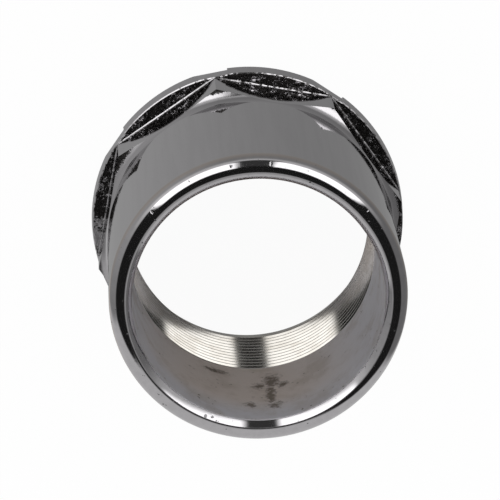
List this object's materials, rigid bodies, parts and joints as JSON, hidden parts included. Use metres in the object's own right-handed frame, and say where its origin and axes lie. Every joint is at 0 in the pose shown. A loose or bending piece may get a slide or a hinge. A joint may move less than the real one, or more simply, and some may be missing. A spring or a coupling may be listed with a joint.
{
  "type": "retaining nut",
  "caption": "Chromed sleeve nut: a long round tube with a rolled lip, wrench flats milled above a plain round rim, and a through bore threaded behind the rim.",
  "frame": {"origin": "middle of the rim's flat end face, on which the nut stands", "axes": "+Z runs along the bore from the rim to the lip; +X is the outward normal of a wrench flat"},
  "size_m": [0.052, 0.052, 0.0458],
  "materials": {
    "chrome": "polished chrome plate on the sleeve, lip and wrench flats; shoulder and chamfered corners dark and rough as forged; bore satin and lightly stained"
  },
  "bodies": {
    "root": {"retaining_nut": "chrome"}
  },
  "joints": []
}
